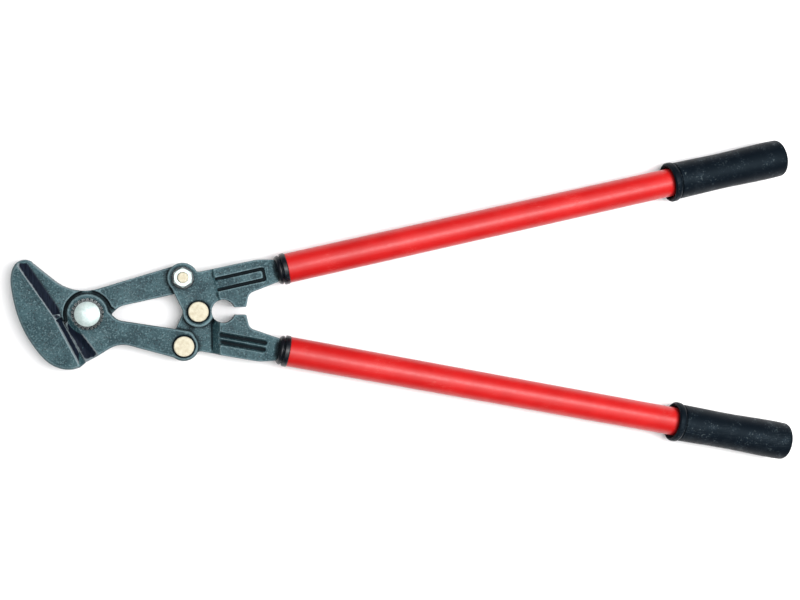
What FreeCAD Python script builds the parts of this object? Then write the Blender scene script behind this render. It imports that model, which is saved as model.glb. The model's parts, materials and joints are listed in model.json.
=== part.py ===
import FreeCAD, Part
import math
import os

# Long-handled bolt cutters of the compound-lever kind, with a hooked jaw.
# Everything is modelled in millimetres about the main jaw pivot: X runs along the
# tool from the jaws to the grips, Y across it, Z up, with the tool lying flat.
# At the end the whole tool is moved so that the origin is the middle of its footprint.

# ---- overall sizes -------------------------------------------------------------
OVERALL_LENGTH = 909.0      # front of the hook jaw to the ends of the grips
HEAD_LENGTH = 118.0         # main pivot to the centre pin of the two levers
HANDLE_ANGLE = 11.88        # each handle tube to the tool axis, degrees
PLATE = 8.5                 # one jaw or lever plate; a lap joint is two of them
LAP_GAP = 0.2               # each lapped face stands this far from the middle plane

# ---- jaws ------------------------------------------------------------------------
HOOK_REACH = 78.8           # main pivot to the front of the hook jaw
WEB_TOP = 3.0               # upper face of the hook jaw's web
EYE_RADIUS = 21.8           # lower jaw's eye on the main pivot
HOOK_EYE_RADIUS = 25.0      # hook jaw's eye below it
EYE_CLEARANCE = 0.8         # round each eye
EDGE_GAP = 2.0              # between the two cutting edges as drawn
EDGE_DISTANCE = 25.7        # main pivot to the lower jaw's cutting edge
EDGE_TILT = 63.96           # cutting edge below the tool axis, degrees
LINK_X = 101.7              # main pivot to the link bolts, along the tool
LINK_Y = 37.7               # and across it
HOOK_LINK_RADIUS = 16.4     # hook jaw's eye on its link bolt
LOWER_LINK_RADIUS = 15.5    # lower jaw's eye on its link bolt

# ---- levers -----------------------------------------------------------------------
LEVER_RAISE = 2.0           # rear part of a lever above its front plate
STEP_BACK = 81.0            # from the tube's start forward to the end of the raised rear part
LINK_BOSS_RADIUS = 16.6
CENTRE_BOSS_RADIUS = 17.0
KEYHOLE_X = 145.3
KEYHOLE_RADIUS = 12.8
LUG_FACE = 4.2              # stop lugs to the tool axis
SEAT_DEPTH = 0.8            # counterbore under the round bolt heads
SWING_PLAY = 1.85           # extra bore radius in the lower lever at the centre pin

# ---- handles ------------------------------------------------------------------------
TUBE_X = 217.0              # start of the tube on its own axis
TUBE_Y = 46.8
TUBE_OD = 33.7
TUBE_WALL = 2.6
NECK_WIDTH = 25.2           # lever blade where it meets the collar
TANG_LENGTH = 75.0          # lever tang behind the collar's front face
COLLAR_LENGTH = 12.0        # collar outside the tube
SLEEVE_LENGTH = 30.0        # collar inside the tube
GRIP_LENGTH = 151.5
GRIP_WALL = 5.8             # over the tube, along the body
GRIP_RING = 6.85            # over the tube, at the mouth ring
GRIP_END = 7.0              # closed end
GRIP_CORNER = 5.5           # radius round the closed end

# ---- fasteners --------------------------------------------------------------------
PIVOT_D = 16.0              # main pivot bolt
PIN_D = 12.0                # link bolts and centre bolt
BORE_PLAY = 0.05            # radial, pins in their bores
FACE_GAP = 0.3              # under heads and nuts that bear on a moving plate
LOCK_WASHER_T = 1.2
LOCK_TEETH = 22
PIVOT_WASHER_T = 3.0
PIVOT_NUT_T = 10.5
PIN_WASHER_T = 2.0
PIN_NUT_T = 10.0
PIN_END = 1.5               # thread standing out of the nut
PIN_HEAD_T = 5.5
CHAMFER = 0.8

SCALE = HEAD_LENGTH / 118.0
ANGLE = math.radians(HANDLE_ANGLE)
REAR = PLATE + LEVER_RAISE
TUBE_R = TUBE_OD / 2
BORE_R = TUBE_R - TUBE_WALL
TANG_WIDTH = 0.65 * TUBE_OD
TANG_T = 0.33 * TUBE_OD
REST = TUBE_R + GRIP_RING
LINK = (LINK_X * SCALE, LINK_Y * SCALE)
CENTRE = (HEAD_LENGTH, 0.0)
TUBE_START = (TUBE_X * SCALE, TUBE_Y * SCALE)


def vec(x, y, z=0.0):
    return FreeCAD.Vector(x, y, z)


def scaled(corners):
    return [(x * SCALE, y * SCALE, r * SCALE) for x, y, r in corners]


def rounded_wire(corners):
    """Closed wire through corners (x, y, radius), each corner rounded by its radius."""
    count = len(corners)
    turns = []
    for i, (x, y, radius) in enumerate(corners):
        here = vec(x, y)
        if radius == 0:
            turns.append((here, None, here))
            continue
        x0, y0, r0 = corners[i - 1]
        x1, y1, r1 = corners[(i + 1) % count]
        back = (vec(x0, y0) - here).normalize()
        ahead = (vec(x1, y1) - here).normalize()
        half = back.getAngle(ahead) / 2
        reach = radius / math.tan(half)
        middle = here + (back + ahead).normalize() * (radius / math.sin(half) - radius)
        turns.append((here + back * reach, middle, here + ahead * reach))
    edges = []
    for i, (start, middle, end) in enumerate(turns):
        if middle is not None:
            edges.append(Part.Arc(start, middle, end).toShape())
        following = turns[(i + 1) % count][0]
        if end.distanceToPoint(following) > 1e-6:
            edges.append(Part.makeLine(end, following))
    return Part.Wire(edges)


def plate(corners, bottom, top):
    face = Part.Face(rounded_wire(corners))
    face.translate(vec(0, 0, bottom))
    return face.extrude(vec(0, 0, top - bottom))


def disc(centre, radius, bottom, top):
    return Part.makeCylinder(radius, top - bottom, vec(centre[0], centre[1], bottom))


def side_profile(points):
    """Solid with this outline in side view (x, z), reaching past the part in Y."""
    loop = [vec(x, -400, z) for x, z in points]
    return Part.Face(Part.makePolygon(loop + [loop[0]])).extrude(vec(0, 800, 0))


def bar(start, end, section):
    """Straight bar from start to end; section is (offset to the right, height)."""
    along = vec(end[0] - start[0], end[1] - start[1])
    right = vec(along.y, -along.x).normalize()
    loop = [vec(start[0], start[1]) + right * u + vec(0, 0, z) for u, z in section]
    return Part.Face(Part.makePolygon(loop + [loop[0]])).extrude(along)


def turned(profile, axis_point, axis):
    """Solid of revolution from a closed list of points."""
    return Part.Face(Part.makePolygon(profile + [profile[0]])).revolve(axis_point, axis, 360)


def soften(solid, height, size):
    """Chamfer every edge of the outline lying at this height."""
    edges = []
    for edge in solid.Edges:
        box = edge.BoundBox
        if abs(box.ZMin - height) < 1e-4 and abs(box.ZMax - height) < 1e-4 and edge.Length > 2 * size:
            edges.append(edge)
    return solid.makeChamfer(size, edges)


def flipped(shape):
    """The same piece turned over about the tool axis."""
    turned_over = shape.copy()
    turned_over.rotate(vec(0, 0, 0), vec(1, 0, 0), 180)
    return turned_over


def to_handle(shape):
    """From a handle's own frame (tube start at the origin, X along the tube)."""
    placed = shape.copy()
    placed.rotate(vec(0, 0, 0), vec(0, 0, 1), HANDLE_ANGLE)
    placed.translate(vec(TUBE_START[0], TUBE_START[1]))
    return placed


def on_handle(along, across):
    x = TUBE_START[0] + along * math.cos(ANGLE) - across * math.sin(ANGLE)
    y = TUBE_START[1] + along * math.sin(ANGLE) + across * math.cos(ANGLE)
    return (x, y)


def on_edge(distance, along):
    """Point at a distance in front of the pivot and so far down the cutting edge."""
    tilt = math.radians(EDGE_TILT)
    x = -distance * math.sin(tilt) + along * math.cos(tilt)
    y = -distance * math.cos(tilt) - along * math.sin(tilt)
    return (x * SCALE, y * SCALE)


# ---- jaws ------------------------------------------------------------------------
def hook_outline():
    """Plan of the hooked blade: curved back, then the line of its cutting edge."""
    back = [(-9, -57.6), (-22, -59.6), (-38, -54.2), (-53, -38.8), (-65, -19), (-73, 2),
            (-77.3, 22), (-78.8, 38), (-76.4, 50.5), (-71.2, 57.4), (-64.5, 59.8), (-58, 57.9)]
    stretch = HOOK_REACH / 78.8
    points = [vec(x * SCALE * stretch, y * SCALE) for x, y in back]
    curve = Part.BSplineCurve()
    curve.interpolate(points)
    heel = on_edge(EDGE_DISTANCE + EDGE_GAP, 46.0)
    root = on_edge(EDGE_DISTANCE + EDGE_GAP, -6.0)
    web = (-40 * SCALE, 36 * SCALE)
    corners = [points[-1], vec(*web), vec(*root), vec(*heel), points[0]]
    return Part.Wire([curve.toShape()] + Part.makePolygon(corners).Edges)


def hook_blade():
    face = Part.Face(hook_outline())
    face.translate(vec(0, 0, -PLATE))
    blade = face.extrude(vec(0, 0, 2 * PLATE))
    back = []
    for edge in blade.Edges:
        box = edge.BoundBox
        if box.XMin < -70 * SCALE and box.ZLength < 0.01:
            back.append(edge)
    return blade.makeChamfer(1.8, back)


def hook_bevels():
    """Ground faces running from the blade's flat to its edge and down to the web."""
    flat = 5.0 * SCALE
    high = PLATE + 4
    upper_end = on_edge(EDGE_DISTANCE + EDGE_GAP + 5, -9.5)
    upper_start = (-76.0 * SCALE, 59.7 * SCALE)
    wide = 9.6 * SCALE
    upper = bar(upper_end, upper_start,
                [(0, PLATE), (0, high), (70, high), (70, WEB_TOP), (wide, WEB_TOP)])
    lower_start = on_edge(EDGE_DISTANCE + EDGE_GAP + 5, -9.5)
    lower_end = on_edge(EDGE_DISTANCE + EDGE_GAP + 5, 60)
    top = bar(lower_end, lower_start, [(0, PLATE), (0, high), (flat + 2, high), (flat + 2, 0), (flat, 0)])
    low_start = on_edge(EDGE_DISTANCE + EDGE_GAP + 5, -4)
    low = bar(lower_end, low_start,
              [(0, -PLATE), (0, -high), (flat + 2, -high), (flat + 2, 0), (flat, 0)])
    return [upper, top, low]


def upper_jaw():
    web = scaled([(-59, 58.2, 0), (-70, 45, 0), (-44, -4, 0), (-28, -7, 0), (-22, -7, 0), (0, -20, 0),
                  (23, -2.2, 0), (33, 7.6, 20), (104, 22.3, 0), (99, 53.0, 0), (-14.3, 19.8, 50)])
    arm = plate(web, -PLATE, WEB_TOP)
    arm = arm.fuse(disc((0, 0), HOOK_EYE_RADIUS * SCALE, -PLATE, WEB_TOP))
    arm = arm.fuse(disc(LINK, HOOK_LINK_RADIUS * SCALE, -PLATE, WEB_TOP)).removeSplitter()
    arm = soften(arm, -PLATE, CHAMFER)
    arm = soften(arm, WEB_TOP, CHAMFER)
    ramp = side_profile([(28 * SCALE, WEB_TOP), (62 * SCALE, -LAP_GAP), (200 * SCALE, -LAP_GAP),
                         (200 * SCALE, 50), (28 * SCALE, 50)])
    arm = arm.cut(ramp)
    jaw = arm.fuse(hook_blade())
    for tool in hook_bevels():
        jaw = jaw.cut(tool)
    recess = (HOOK_EYE_RADIUS + EYE_CLEARANCE) * SCALE
    jaw = jaw.cut(disc((0, 0), recess, -LAP_GAP, PLATE + 5))
    jaw = jaw.cut(disc((20 * SCALE, -2 * SCALE), 10.6 * SCALE, -LAP_GAP, PLATE + 5))
    jaw = jaw.cut(disc((0, 0), PIVOT_D / 2 + BORE_PLAY, -50, 50))
    return jaw.cut(disc(LINK, PIN_D / 2, -50, 50)).removeSplitter()


def lower_bevels():
    """Ground faces of the straight blade: a steep one, then the edge facet, each side."""
    flat_start = (-24.0 * SCALE, 4.85 * SCALE)
    flat_end = (21.0 * SCALE, -58.5 * SCALE)
    edge_start = on_edge(EDGE_DISTANCE, -12)
    edge_end = on_edge(EDGE_DISTANCE, 60)
    steep_slope = 0.92 / SCALE
    facet_slope = 0.33 / SCALE
    tools = []
    for side in (1, -1):
        high = side * (PLATE + 4)
        low = side * (PLATE - 40 * steep_slope)
        steep = bar(flat_start, flat_end, [(0, side * PLATE), (0, high), (40, high), (40, low)])
        rise = side * 30 * facet_slope
        facet = bar(edge_start, edge_end, [(1, 0), (0, 0), (-30, rise), (-30, 2 * high), (1, 2 * high)])
        tools.append(steep.common(facet))
    return tools


def lower_jaw():
    x0, y0 = on_edge(EDGE_DISTANCE, 0)
    x1, y1 = on_edge(EDGE_DISTANCE, 44)
    edge_top = (x0 / SCALE, y0 / SCALE, 0)
    edge_end = (x1 / SCALE, y1 / SCALE, 0)
    outline = scaled([(-19, -2.5, 0), edge_top, edge_end, (-3, -52.4, 0), (9, -46.2, 2), (32.3, -31.9, 28),
                      (97, -51.6, 0), (115.5, -36, 0), (112.5, -21.8, 10), (31.5, -7.5, 15), (25, -1, 0),
                      (17.5, 7, 0), (0, 0, 0)])
    arm = plate(outline, LAP_GAP, PLATE)
    arm = arm.fuse(disc((0, 0), EYE_RADIUS * SCALE, LAP_GAP, PLATE))
    arm = arm.fuse(disc((LINK[0], -LINK[1]), LOWER_LINK_RADIUS * SCALE, LAP_GAP, PLATE)).removeSplitter()
    arm = soften(arm, PLATE, CHAMFER)
    block = scaled([edge_top, edge_end, (-3, -52.4, 0), (9, -46.2, 2), (20, -39.1, 0), (17, -19, 0), (0, 0, 0)])
    jaw = arm.fuse(plate(block, -PLATE, LAP_GAP))
    jaw = jaw.cut(disc((0, 0), (HOOK_EYE_RADIUS + EYE_CLEARANCE) * SCALE, -50, LAP_GAP))
    for tool in lower_bevels():
        jaw = jaw.cut(tool)
    link = (LINK[0], -LINK[1])
    jaw = jaw.cut(disc((0, 0), PIVOT_D / 2 + BORE_PLAY, -50, 50))
    jaw = jaw.cut(disc(link, PIN_D / 2, -50, 50))
    return jaw.cut(disc(link, PIN_D * 1.05, PLATE - SEAT_DEPTH, 50)).removeSplitter()


# ---- levers -----------------------------------------------------------------------
def lever_blank():
    """Plan of a lever up to the collar: link boss, centre boss, stop lug and neck."""
    half = NECK_WIDTH / 2
    front = -COLLAR_LENGTH
    neck_low = on_handle(front, -half)
    neck_high = on_handle(front, half)
    outline = scaled([(88, 30, 0), (101.5, 0.5, 0), (118, 0, 0), (140, LUG_FACE, 0), (170.3, LUG_FACE, 1),
                      (173.5, 19.2, 9)])
    outline.append((neck_low[0], neck_low[1], 0))
    outline.append((neck_high[0], neck_high[1], 0))
    outline.extend(scaled([(184, 57.0, 60), (117.5, 43.6, 7), (108.5, 51.5, 0), (101.7, 37.7, 0)]))
    blank = plate(outline, -REAR, REAR)
    blank = blank.fuse(disc(LINK, LINK_BOSS_RADIUS * SCALE, -REAR, REAR))
    blank = blank.fuse(disc(CENTRE, CENTRE_BOSS_RADIUS * SCALE, -REAR, REAR))
    keyhole = disc((KEYHOLE_X * SCALE, 0), KEYHOLE_RADIUS * SCALE, -50, 50)
    return blank.cut(keyhole).removeSplitter()


def lever_side():
    """Side view of a lever: front plate on one side of the middle, rear part on both."""
    near = 60 * SCALE
    far = 230 * SCALE
    return side_profile([(near, LAP_GAP), (near, REAR), (far, REAR), (far, -REAR),
                         (141 * SCALE, -REAR), (132.5 * SCALE, LAP_GAP)])


def front_step():
    """In the handle frame: what lies above the front plate, up to the sloping step."""
    back = -STEP_BACK * SCALE
    ahead = -300 * SCALE
    return side_profile([(ahead, PLATE), (back - 1.2, PLATE), (back + 0.6, REAR), (back + 0.6, 60), (ahead, 60)])


def neck_taper():
    """In the handle frame: thins the rear part down to the tang's thickness."""
    start = -30.0 * SCALE
    front = -COLLAR_LENGTH
    half = TANG_T / 2
    top = side_profile([(start, REAR), (front - 2, half), (50, half), (50, 60), (start, 60)])
    return top.fuse(flipped(top))


def rib_pocket():
    """In the handle frame: channel sunk in the outer face, a long rib rising out of its floor."""
    floor = PLATE - 1.0
    front = -STEP_BACK * SCALE
    pocket = scaled([(-STEP_BACK, -8.3, 0), (-25.5, -8.3, 3), (-25.5, 7.0, 3), (-STEP_BACK, 7.0, 0)])
    rib = scaled([(-90, -5.0, 0), (-28.5, -5.0, 2), (-28.5, 3.8, 2), (-90, 3.8, 0)])
    crest = side_profile([(front - 20, 0), (front - 20, PLATE), (front, PLATE), (-42 * SCALE, REAR),
                          (0, REAR), (0, 0)])
    return plate(pocket, floor, 60).cut(plate(rib, floor - 1, 60).common(crest))


def ridge_grooves():
    """In the handle frame: the two round grooves either side of the ridge, inner face."""
    grooves = []
    for across in (-5.0, 2.8):
        start = vec(-78 * SCALE, across * SCALE, -REAR - 0.3)
        end = vec(-28 * SCALE, across * SCALE, -REAR - 0.3)
        radius = 3.3 * SCALE
        groove = Part.makeCylinder(radius, (end - start).Length, start, vec(1, 0, 0))
        groove = groove.fuse(Part.makeSphere(radius, start)).fuse(Part.makeSphere(radius, end))
        grooves.append(groove)
    return grooves


def lever_forging(centre_bore):
    body = lever_blank().common(lever_side())
    clearance = CENTRE_BOSS_RADIUS * SCALE + SWING_PLAY + 0.5
    body = body.cut(disc(CENTRE, clearance, -50, LAP_GAP))
    body = body.cut(to_handle(front_step()))
    body = body.cut(to_handle(neck_taper()))
    body = body.cut(to_handle(rib_pocket()))
    for groove in ridge_grooves():
        body = body.cut(to_handle(groove))
    tang = Part.makeBox(TANG_LENGTH, TANG_WIDTH, TANG_T, vec(-COLLAR_LENGTH, -TANG_WIDTH / 2, -TANG_T / 2))
    tang = tang.makeChamfer(1.2, [e for e in tang.Edges if abs(e.BoundBox.XMin - e.BoundBox.XMax) > 1])
    body = body.fuse(to_handle(tang))
    body = body.cut(disc(LINK, PIN_D / 2 + BORE_PLAY, -50, 50))
    body = body.cut(disc(CENTRE, centre_bore, -50, 50))
    return body.cut(disc(CENTRE, PIN_D * 1.05, PLATE - SEAT_DEPTH, 50)).removeSplitter()


def upper_lever():
    return lever_forging(PIN_D / 2)


def lower_lever():
    return flipped(lever_forging(PIN_D / 2 + SWING_PLAY))


# ---- fasteners --------------------------------------------------------------------
def washer(centre, inner, outer, bottom, thick):
    return disc(centre, outer, bottom, bottom + thick).cut(disc(centre, inner, bottom - 1, bottom + thick + 1))


def hex_nut(centre, across_flats, bore, bottom, thick):
    """Hexagon nut, both faces crowned by a 30 degree chamfer."""
    corner = across_flats / 2 / math.cos(math.radians(30))
    loop = []
    for i in range(6):
        turn = math.radians(90 + 60 * i)
        loop.append((centre[0] + corner * math.cos(turn), centre[1] + corner * math.sin(turn), 0))
    nut = plate(loop, bottom, bottom + thick)
    drop = (corner - across_flats / 2 + 0.5) * math.tan(math.radians(30))
    rim = across_flats / 2 - 0.5
    top = bottom + thick
    crown = [vec(0, 0, bottom), vec(rim, 0, bottom), vec(corner, 0, bottom + drop),
             vec(corner, 0, top - drop), vec(rim, 0, top), vec(0, 0, top)]
    crown = turned(crown, vec(0, 0, 0), vec(0, 0, 1))
    crown.translate(vec(centre[0], centre[1]))
    return nut.common(crown).cut(disc(centre, bore, bottom - 1, top + 1))


def headed_bolt(centre, radius, head_radius, head_base, head_top, tip):
    """Round flat-headed bolt: head from head_base to head_top, shank down to tip."""
    edge = 0.9
    end = 1.2
    profile = [vec(0, 0, tip), vec(radius - end, 0, tip), vec(radius, 0, tip + end),
               vec(radius, 0, head_base), vec(head_radius, 0, head_base),
               vec(head_radius, 0, head_top - edge), vec(head_radius - edge, 0, head_top),
               vec(0, 0, head_top)]
    bolt = turned(profile, vec(0, 0, 0), vec(0, 0, 1))
    bolt.translate(vec(centre[0], centre[1]))
    return bolt


def pivot_lock_washer():
    """Toothed washer under the main bolt's head."""
    bottom = PLATE + FACE_GAP
    outer = PIVOT_D * 1.0625
    ring = washer((0, 0), PIVOT_D / 2 + BORE_PLAY, outer, bottom, LOCK_WASHER_T)
    depth = PIVOT_D * 0.14
    width = 2 * math.pi * outer / LOCK_TEETH * 0.42
    notch = Part.makeBox(depth + 2, width, LOCK_WASHER_T + 2, vec(outer - depth, -width / 2, bottom - 1))
    for i in range(LOCK_TEETH):
        gap = notch.copy()
        gap.rotate(vec(0, 0, 0), vec(0, 0, 1), 360.0 * i / LOCK_TEETH)
        ring = ring.cut(gap)
    return ring


def pivot_bolt():
    """Main bolt with a low domed head."""
    radius = PIVOT_D / 2
    head = PIVOT_D * 0.844
    base = PLATE + FACE_GAP + LOCK_WASHER_T
    rim = base + 2.6
    crest = rim + 3.6
    end = 1.6
    lower = [vec(0, 0, crest), vec(0, 0, -REST), vec(radius - end, 0, -REST), vec(radius, 0, -REST + end),
             vec(radius, 0, base), vec(head, 0, base), vec(head, 0, rim)]
    edges = Part.makePolygon(lower).Edges
    dome = (head * head + (crest - rim) ** 2) / (2 * (crest - rim))
    half = math.asin(head / dome) / 2
    middle = vec(dome * math.sin(half), 0, crest - dome * (1 - math.cos(half)))
    edges.append(Part.Arc(vec(head, 0, rim), middle, vec(0, 0, crest)).toShape())
    return Part.Face(Part.Wire(edges)).revolve(vec(0, 0, 0), vec(0, 0, 1), 360)


def pivot_washer():
    return washer((0, 0), PIVOT_D / 2 + BORE_PLAY, PIVOT_D * 0.94, -PLATE - PIVOT_WASHER_T, PIVOT_WASHER_T)


def pivot_nut():
    bottom = -PLATE - PIVOT_WASHER_T - PIVOT_NUT_T
    return hex_nut((0, 0), PIVOT_D * 1.5, PIVOT_D / 2, bottom, PIVOT_NUT_T)


def pin_reach():
    return PLATE + FACE_GAP + PIN_WASHER_T + PIN_NUT_T + PIN_END


def pin_bolt(centre):
    """Head up in its seat, thread down."""
    base = PLATE - SEAT_DEPTH
    return headed_bolt(centre, PIN_D / 2, PIN_D * 0.917, base, base + PIN_HEAD_T, -pin_reach())


def pin_washer(centre):
    return washer(centre, PIN_D / 2 + BORE_PLAY, PIN_D * 0.98, -PLATE - FACE_GAP - PIN_WASHER_T, PIN_WASHER_T)


def pin_nut(centre):
    bottom = -PLATE - FACE_GAP - PIN_WASHER_T - PIN_NUT_T
    return hex_nut(centre, PIN_D * 1.583, PIN_D / 2, bottom, PIN_NUT_T)


def upper_link_bolt():
    """Head down against the hook jaw, thread up through the upper lever."""
    turned_over = (LINK[0], -LINK[1])
    return flipped(headed_bolt(turned_over, PIN_D / 2, PIN_D * 0.917, PLATE, PLATE + PIN_HEAD_T, -pin_reach()))


def upper_link_washer():
    return flipped(pin_washer((LINK[0], -LINK[1])))


def upper_link_nut():
    return flipped(pin_nut((LINK[0], -LINK[1])))


# ---- handles ------------------------------------------------------------------------
def grip_end():
    """Distance from the tube's start to the outside of the grip's closed end."""
    far = OVERALL_LENGTH - HOOK_REACH * SCALE - TUBE_START[0]
    return (far - (TUBE_R + GRIP_WALL - GRIP_CORNER) * math.sin(ANGLE)) / math.cos(ANGLE)


def handle_tube():
    length = grip_end() - GRIP_END
    tube = Part.makeCylinder(TUBE_R, length, vec(0, 0, 0), vec(1, 0, 0))
    return to_handle(tube.cut(Part.makeCylinder(BORE_R, length + 2, vec(-1, 0, 0), vec(1, 0, 0))))


def collar():
    """Flanged plastic bush: stepped nose, groove, flange against the tube, sleeve inside."""
    front = -COLLAR_LENGTH
    flange = TUBE_R + 0.9
    nose = TUBE_R - 0.2
    sleeve = BORE_R
    profile = [vec(front, 0, 0), vec(front, 0, nose - 2.4), vec(front + 1.6, 0, nose - 0.9),
               vec(front + 4.6, 0, nose), vec(front + 5.4, 0, nose - 1.1), vec(front + 6.0, 0, nose - 1.1),
               vec(front + 6.6, 0, flange - 0.5), vec(front + 7.2, 0, flange), vec(-0.5, 0, flange),
               vec(0, 0, flange - 0.5), vec(0, 0, sleeve), vec(SLEEVE_LENGTH, 0, sleeve),
               vec(SLEEVE_LENGTH, 0, 0)]
    bush = turned(profile, vec(0, 0, 0), vec(1, 0, 0))
    slot = Part.makeBox(100, TANG_WIDTH, TANG_T, vec(-50, -TANG_WIDTH / 2, -TANG_T / 2))
    slot = slot.makeChamfer(1.2, [e for e in slot.Edges if abs(e.BoundBox.XMin - e.BoundBox.XMax) > 1])
    return to_handle(bush.cut(slot))


def grip():
    """Rubber sleeve: rolled mouth ring, groove, waisted body, closed rounded end."""
    end = grip_end()
    mouth = end - GRIP_LENGTH
    ring = REST
    body = TUBE_R + GRIP_WALL
    neck = body - 0.9
    inside = end - GRIP_END
    corner = GRIP_CORNER
    roll = 2.2
    start = mouth + roll
    stop = mouth + 8.9 - roll
    bulge = roll * math.sqrt(0.5)
    edges = Part.makePolygon([vec(end, 0, 0), vec(inside, 0, 0), vec(inside, 0, TUBE_R),
                              vec(mouth, 0, TUBE_R), vec(mouth, 0, ring - roll)]).Edges
    edges.append(Part.Arc(vec(mouth, 0, ring - roll), vec(start - bulge, 0, ring - roll + bulge),
                          vec(start, 0, ring)).toShape())
    edges.append(Part.makeLine(vec(start, 0, ring), vec(stop, 0, ring)))
    edges.append(Part.Arc(vec(stop, 0, ring), vec(stop + bulge, 0, ring - roll + bulge),
                          vec(stop + roll, 0, ring - roll)).toShape())
    edges.append(Part.makeLine(vec(stop + roll, 0, ring - roll), vec(mouth + 9.5, 0, neck)))
    waist = Part.BSplineCurve()
    waist.interpolate([vec(mouth + 9.5, 0, neck), vec(mouth + 13, 0, neck + 0.35), vec(mouth + 40, 0, body - 0.9),
                       vec(mouth + 68, 0, body - 1.3), vec(mouth + 105, 0, body - 0.5),
                       vec(end - corner, 0, body)])
    edges.append(waist.toShape())
    diagonal = corner * (1 - math.sqrt(0.5))
    edges.append(Part.Arc(vec(end - corner, 0, body), vec(end - diagonal, 0, body - diagonal),
                          vec(end, 0, body - corner)).toShape())
    edges.append(Part.makeLine(vec(end, 0, body - corner), vec(end, 0, 0)))
    face = Part.Face(Part.Wire(edges))
    return to_handle(face.revolve(vec(0, 0, 0), vec(1, 0, 0), 360))


def build():
    lower_link = (LINK[0], -LINK[1])
    return {
        "upper_jaw": upper_jaw(),
        "lower_jaw": lower_jaw(),
        "pivot_bolt": pivot_bolt(),
        "pivot_lock_washer": pivot_lock_washer(),
        "pivot_washer": pivot_washer(),
        "pivot_nut": pivot_nut(),
        "upper_lever": upper_lever(),
        "lower_lever": lower_lever(),
        "centre_bolt": pin_bolt(CENTRE),
        "centre_washer": pin_washer(CENTRE),
        "centre_nut": pin_nut(CENTRE),
        "upper_link_bolt": upper_link_bolt(),
        "upper_link_washer": upper_link_washer(),
        "upper_link_nut": upper_link_nut(),
        "lower_link_bolt": pin_bolt(lower_link),
        "lower_link_washer": pin_washer(lower_link),
        "lower_link_nut": pin_nut(lower_link),
        "upper_collar": collar(),
        "lower_collar": flipped(collar()),
        "upper_tube": handle_tube(),
        "lower_tube": flipped(handle_tube()),
        "upper_grip": grip(),
        "lower_grip": flipped(grip()),
    }


def footprint_middle(pieces):
    """Middle of the box round the whole tool, at its underside."""
    box = FreeCAD.BoundBox()
    for shape in pieces.values():
        box.add(shape.optimalBoundingBox(False))
    return vec(box.Center.x, box.Center.y, box.ZMin)


PIECES = build()
ORIGIN = footprint_middle(PIECES)
os.makedirs("parts", exist_ok=True)
for node, piece in PIECES.items():
    piece.translate(vec(0, 0, 0) - ORIGIN)
    piece.exportStep("parts/" + node + ".step")
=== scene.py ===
import json
import math

import bmesh
import bpy
import numpy as np
from mathutils import Matrix, Vector, noise


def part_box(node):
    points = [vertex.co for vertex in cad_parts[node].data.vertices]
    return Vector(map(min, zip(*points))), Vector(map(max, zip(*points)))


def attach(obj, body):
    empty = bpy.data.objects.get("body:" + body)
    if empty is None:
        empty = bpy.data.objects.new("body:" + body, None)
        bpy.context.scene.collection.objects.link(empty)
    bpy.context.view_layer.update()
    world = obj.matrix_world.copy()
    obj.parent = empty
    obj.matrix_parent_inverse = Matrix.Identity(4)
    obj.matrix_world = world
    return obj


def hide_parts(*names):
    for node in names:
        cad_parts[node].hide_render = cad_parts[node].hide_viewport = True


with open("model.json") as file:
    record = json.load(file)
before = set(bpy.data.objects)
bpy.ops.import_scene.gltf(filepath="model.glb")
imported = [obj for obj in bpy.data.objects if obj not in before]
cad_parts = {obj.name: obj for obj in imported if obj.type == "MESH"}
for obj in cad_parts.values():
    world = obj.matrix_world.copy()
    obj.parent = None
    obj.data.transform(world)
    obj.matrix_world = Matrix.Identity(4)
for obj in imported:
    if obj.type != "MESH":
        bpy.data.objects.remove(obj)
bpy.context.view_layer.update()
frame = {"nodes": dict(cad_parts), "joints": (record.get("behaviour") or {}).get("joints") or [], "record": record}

# Long-handled bolt cutters lying flat: black forged jaws and levers, zinc-plated bolts,
# red enamelled tube handles, black plastic collars and black rubber grips.
# Shapes are worked out in millimetres about the main bolt and scaled by MM.
MM = 0.001

EDGE_TILT = math.radians(63.96)     # cutting edges below the tool's long axis
BLADE_EDGE = 25.7                   # from the main bolt square to the blade's edge
HOOK_EDGE = 27.7                    # and to the hooked jaw's edge
EDGE_LOSS = 1.3                     # taken off a thin edge by rounding it over
EDGE_DEPTH = 5.0                    # how far behind an edge the steel is drawn out to make that good
HOOK_EYE = 27.0                     # keeps the ground faces clear of the hooked jaw's eye
BLADE_EYE = 22.4                    # and of the blade's eye
HANDLE_ANGLE = math.radians(11.88)
TUBE_START = (217.0, 46.8)          # from the main bolt to the start of the upper tube
HANDLE_LENGTH = 623.0               # from there to the outside of the grip's end
TUBE_RADIUS = 16.85
TUBE_BORE = 14.25
GRIP_LENGTH = 151.5
GRIP_BODY = 22.65                   # radius of the grip
GRIP_RING = 23.7                    # and of the ring at its mouth
GRIP_END = 7.0                      # thickness of its closed end
ROUND = 96                          # sides of a turned piece
VOXEL = 0.55                        # grain of the forged surfaces
JAW_ROUNDING = 4                    # smoothing passes over the edges of a jaw
LEVER_ROUNDING = 9                  # and of a lever
SKIN_UNEVEN = 0.05                  # height of the forged skin's waves
LONG_PARTS = ("red_paint", "black_plastic", "black_rubber")     # pieces along a handle
PIVOT_THREAD = (8.0, 2.0, 16.0)     # radius, pitch and length of the main bolt's thread
PIN_THREAD = (6.0, 1.75, 15.0)      # and of the three smaller bolts'
PIVOT_NUT = (24.0, 7.2)             # width across flats, radius of the threaded hole
PIN_NUT = (19.0, 5.3)
PIVOT_WASHER_BORE = 8.3
PIN_WASHER_BORE = 6.3
WASHER_TEETH = 22
VIEW_FROM = (94.7, 13.4, 1251.4)    # camera from the main bolt
VIEW_AHEAD = (0.1971, -0.0037, -0.9804)
VIEW_UPWARD = (0.01895, 0.99982, 0)
FLOOR_HALF = 6000.0

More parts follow.
